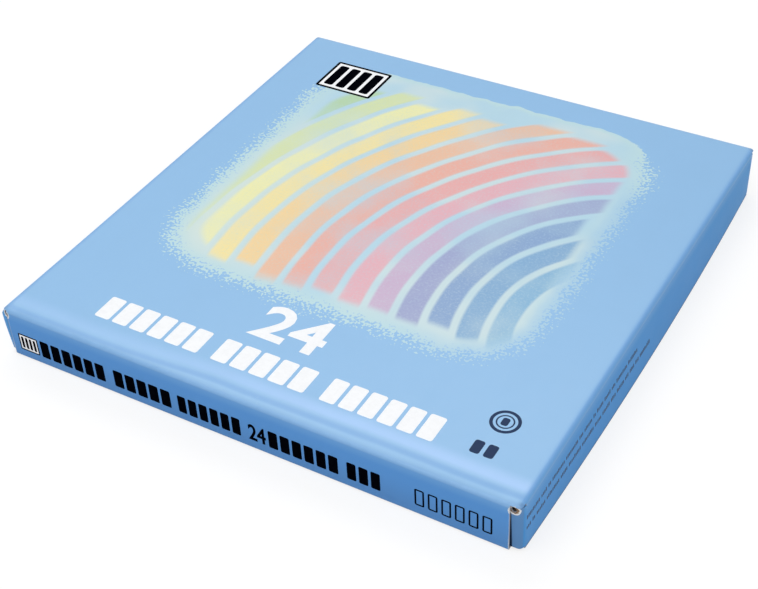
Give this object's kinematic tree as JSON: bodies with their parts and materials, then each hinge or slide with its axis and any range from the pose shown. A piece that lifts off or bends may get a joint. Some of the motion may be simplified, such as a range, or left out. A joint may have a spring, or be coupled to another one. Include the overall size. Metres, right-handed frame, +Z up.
{
  "type": "pastel stick box with lift-off lid",
  "caption": "Flat folded-board box with a lift-off lid over a tray, a slotted foam bed with a finger channel, square pastel sticks and a loose cover sheet.",
  "frame": {"origin": "middle of the tray's underside, on the table", "axes": "+X along the front rolled wall, +Y to the back, +Z up out of the lid's top panel"},
  "size_m": [0.1994, 0.205, 0.02],
  "materials": {
    "printed_board": "satin varnished print on white-backed board",
    "plain_board": "unprinted grey-brown board, matt",
    "bed_foam": "closed-cell packing foam, matt",
    "cover_foam": "thin closed-cell foam sheet, matt",
    "pastel_white": "dry chalky pastel, matt",
    "pastel_lemon": "dry chalky pastel, matt",
    "pastel_yellow": "dry chalky pastel, matt",
    "pastel_orange": "dry chalky pastel, matt",
    "pastel_vermilion": "dry chalky pastel, matt",
    "pastel_carmine": "dry chalky pastel, matt",
    "pastel_rose": "dry chalky pastel, matt",
    "pastel_pale_pink": "dry chalky pastel, matt",
    "pastel_flesh": "dry chalky pastel, matt",
    "pastel_ochre": "dry chalky pastel, matt",
    "pastel_sienna": "dry chalky pastel, matt",
    "pastel_umber": "dry chalky pastel, matt",
    "pastel_yellow_green": "dry chalky pastel, matt",
    "pastel_leaf_green": "dry chalky pastel, matt",
    "pastel_deep_green": "dry chalky pastel, matt",
    "pastel_turquoise": "dry chalky pastel, matt",
    "pastel_sky_blue": "dry chalky pastel, matt",
    "pastel_cobalt": "dry chalky pastel, matt",
    "pastel_ultramarine": "dry chalky pastel, matt",
    "pastel_violet": "dry chalky pastel, matt",
    "pastel_lilac": "dry chalky pastel, matt",
    "pastel_light_grey": "dry chalky pastel, matt",
    "pastel_dark_grey": "dry chalky pastel, matt",
    "pastel_black": "dry chalky pastel, matt"
  },
  "bodies": {
    "tray": {"base_tray": "plain_board"},
    "lid": {"lid": "printed_board"},
    "cover": {"cover_sheet": "cover_foam"},
    "bed": {"bed_backing": "bed_foam", "bed_slots": "bed_foam"},
    "stick_01": {"stick_01": "pastel_white"},
    "stick_02": {"stick_02": "pastel_lemon"},
    "stick_03": {"stick_03": "pastel_yellow"},
    "stick_04": {"stick_04": "pastel_orange"},
    "stick_05": {"stick_05": "pastel_vermilion"},
    "stick_06": {"stick_06": "pastel_carmine"},
    "stick_07": {"stick_07": "pastel_rose"},
    "stick_08": {"stick_08": "pastel_pale_pink"},
    "stick_09": {"stick_09": "pastel_flesh"},
    "stick_10": {"stick_10": "pastel_ochre"},
    "stick_11": {"stick_11": "pastel_sienna"},
    "stick_12": {"stick_12": "pastel_umber"},
    "stick_13": {"stick_13": "pastel_yellow_green"},
    "stick_14": {"stick_14": "pastel_leaf_green"},
    "stick_15": {"stick_15": "pastel_deep_green"},
    "stick_16": {"stick_16": "pastel_turquoise"},
    "stick_17": {"stick_17": "pastel_sky_blue"},
    "stick_18": {"stick_18": "pastel_cobalt"},
    "stick_19": {"stick_19": "pastel_ultramarine"},
    "stick_20": {"stick_20": "pastel_violet"},
    "stick_21": {"stick_21": "pastel_lilac"},
    "stick_22": {"stick_22": "pastel_light_grey"},
    "stick_23": {"stick_23": "pastel_dark_grey"},
    "stick_24": {"stick_24": "pastel_black"}
  },
  "joints": [
    {"name": "lid_lift", "type": "slide", "parent": "tray", "child": "lid", "axis": [0, 0, 1], "range_m": [0, 0.12]},
    {"name": "cover_lift", "type": "slide", "parent": "tray", "child": "cover", "axis": [0, 0, 1], "range_m": [0, 0.0768]},
    {"name": "bed_lift", "type": "slide", "parent": "tray", "child": "bed", "axis": [0, 0, 1], "range_m": [0, 0.0192]},
    {"name": "stick_01_lift", "type": "slide", "parent": "bed", "child": "stick_01", "axis": [0, 0, 1], "range_m": [0, 0.0264]},
    {"name": "stick_02_lift", "type": "slide", "parent": "bed", "child": "stick_02", "axis": [0, 0, 1], "range_m": [0, 0.0264]},
    {"name": "stick_03_lift", "type": "slide", "parent": "bed", "child": "stick_03", "axis": [0, 0, 1], "range_m": [0, 0.0264]},
    {"name": "stick_04_lift", "type": "slide", "parent": "bed", "child": "stick_04", "axis": [0, 0, 1], "range_m": [0, 0.0264]},
    {"name": "stick_05_lift", "type": "slide", "parent": "bed", "child": "stick_05", "axis": [0, 0, 1], "range_m": [0, 0.0264]},
    {"name": "stick_06_lift", "type": "slide", "parent": "bed", "child": "stick_06", "axis": [0, 0, 1], "range_m": [0, 0.0264]},
    {"name": "stick_07_lift", "type": "slide", "parent": "bed", "child": "stick_07", "axis": [0, 0, 1], "range_m": [0, 0.0264]},
    {"name": "stick_08_lift", "type": "slide", "parent": "bed", "child": "stick_08", "axis": [0, 0, 1], "range_m": [0, 0.0264]},
    {"name": "stick_09_lift", "type": "slide", "parent": "bed", "child": "stick_09", "axis": [0, 0, 1], "range_m": [0, 0.0264]},
    {"name": "stick_10_lift", "type": "slide", "parent": "bed", "child": "stick_10", "axis": [0, 0, 1], "range_m": [0, 0.0264]},
    {"name": "stick_11_lift", "type": "slide", "parent": "bed", "child": "stick_11", "axis": [0, 0, 1], "range_m": [0, 0.0264]},
    {"name": "stick_12_lift", "type": "slide", "parent": "bed", "child": "stick_12", "axis": [0, 0, 1], "range_m": [0, 0.0264]},
    {"name": "stick_13_lift", "type": "slide", "parent": "bed", "child": "stick_13", "axis": [0, 0, 1], "range_m": [0, 0.0264]},
    {"name": "stick_14_lift", "type": "slide", "parent": "bed", "child": "stick_14", "axis": [0, 0, 1], "range_m": [0, 0.0264]},
    {"name": "stick_15_lift", "type": "slide", "parent": "bed", "child": "stick_15", "axis": [0, 0, 1], "range_m": [0, 0.0264]},
    {"name": "stick_16_lift", "type": "slide", "parent": "bed", "child": "stick_16", "axis": [0, 0, 1], "range_m": [0, 0.0264]},
    {"name": "stick_17_lift", "type": "slide", "parent": "bed", "child": "stick_17", "axis": [0, 0, 1], "range_m": [0, 0.0264]},
    {"name": "stick_18_lift", "type": "slide", "parent": "bed", "child": "stick_18", "axis": [0, 0, 1], "range_m": [0, 0.0264]},
    {"name": "stick_19_lift", "type": "slide", "parent": "bed", "child": "stick_19", "axis": [0, 0, 1], "range_m": [0, 0.0264]},
    {"name": "stick_20_lift", "type": "slide", "parent": "bed", "child": "stick_20", "axis": [0, 0, 1], "range_m": [0, 0.0264]},
    {"name": "stick_21_lift", "type": "slide", "parent": "bed", "child": "stick_21", "axis": [0, 0, 1], "range_m": [0, 0.0264]},
    {"name": "stick_22_lift", "type": "slide", "parent": "bed", "child": "stick_22", "axis": [0, 0, 1], "range_m": [0, 0.0264]},
    {"name": "stick_23_lift", "type": "slide", "parent": "bed", "child": "stick_23", "axis": [0, 0, 1], "range_m": [0, 0.0264]},
    {"name": "stick_24_lift", "type": "slide", "parent": "bed", "child": "stick_24", "axis": [0, 0, 1], "range_m": [0, 0.0264]}
  ],
  "couplings": [
    {"joint": "cover_lift", "follows": "lid_lift", "ratio": 0.64},
    {"joint": "bed_lift", "follows": "lid_lift", "ratio": 0.16},
    {"joint": "stick_01_lift", "follows": "lid_lift", "ratio": 0.22},
    {"joint": "stick_02_lift", "follows": "lid_lift", "ratio": 0.22},
    {"joint": "stick_03_lift", "follows": "lid_lift", "ratio": 0.22},
    {"joint": "stick_04_lift", "follows": "lid_lift", "ratio": 0.22},
    {"joint": "stick_05_lift", "follows": "lid_lift", "ratio": 0.22},
    {"joint": "stick_06_lift", "follows": "lid_lift", "ratio": 0.22},
    {"joint": "stick_07_lift", "follows": "lid_lift", "ratio": 0.22},
    {"joint": "stick_08_lift", "follows": "lid_lift", "ratio": 0.22},
    {"joint": "stick_09_lift", "follows": "lid_lift", "ratio": 0.22},
    {"joint": "stick_10_lift", "follows": "lid_lift", "ratio": 0.22},
    {"joint": "stick_11_lift", "follows": "lid_lift", "ratio": 0.22},
    {"joint": "stick_12_lift", "follows": "lid_lift", "ratio": 0.22},
    {"joint": "stick_13_lift", "follows": "lid_lift", "ratio": 0.22},
    {"joint": "stick_14_lift", "follows": "lid_lift", "ratio": 0.22},
    {"joint": "stick_15_lift", "follows": "lid_lift", "ratio": 0.22},
    {"joint": "stick_16_lift", "follows": "lid_lift", "ratio": 0.22},
    {"joint": "stick_17_lift", "follows": "lid_lift", "ratio": 0.22},
    {"joint": "stick_18_lift", "follows": "lid_lift", "ratio": 0.22},
    {"joint": "stick_19_lift", "follows": "lid_lift", "ratio": 0.22},
    {"joint": "stick_20_lift", "follows": "lid_lift", "ratio": 0.22},
    {"joint": "stick_21_lift", "follows": "lid_lift", "ratio": 0.22},
    {"joint": "stick_22_lift", "follows": "lid_lift", "ratio": 0.22},
    {"joint": "stick_23_lift", "follows": "lid_lift", "ratio": 0.22},
    {"joint": "stick_24_lift", "follows": "lid_lift", "ratio": 0.22}
  ]
}
